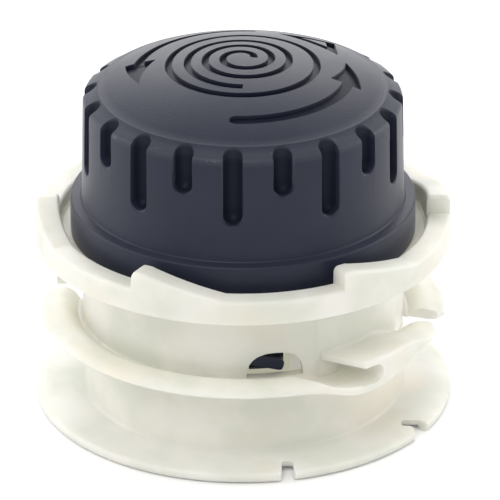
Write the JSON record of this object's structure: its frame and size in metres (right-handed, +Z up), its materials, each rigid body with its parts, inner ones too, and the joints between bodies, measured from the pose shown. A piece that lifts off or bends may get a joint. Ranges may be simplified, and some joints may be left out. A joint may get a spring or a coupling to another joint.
{
  "type": "trimmer line spool",
  "caption": "Line spool of a grass trimmer head: a nylon drum with flanges, line channels and a saw-toothed rim, and a fluted winding cap snapped on top.",
  "frame": {"origin": "centre of the resting face, under the middle of the drum", "axes": "+Z up along the drum's axis, from the open end of the drum to the cap; -Y towards the side that the picture shows in front, +X to its right"},
  "size_m": [0.086, 0.086, 0.0743],
  "materials": {
    "nylon": "milky, slightly translucent moulded nylon",
    "dark_plastic": "dark slate, fine moulded grain"
  },
  "bodies": {
    "root": {"spool": "nylon", "cap": "dark_plastic"}
  },
  "joints": []
}
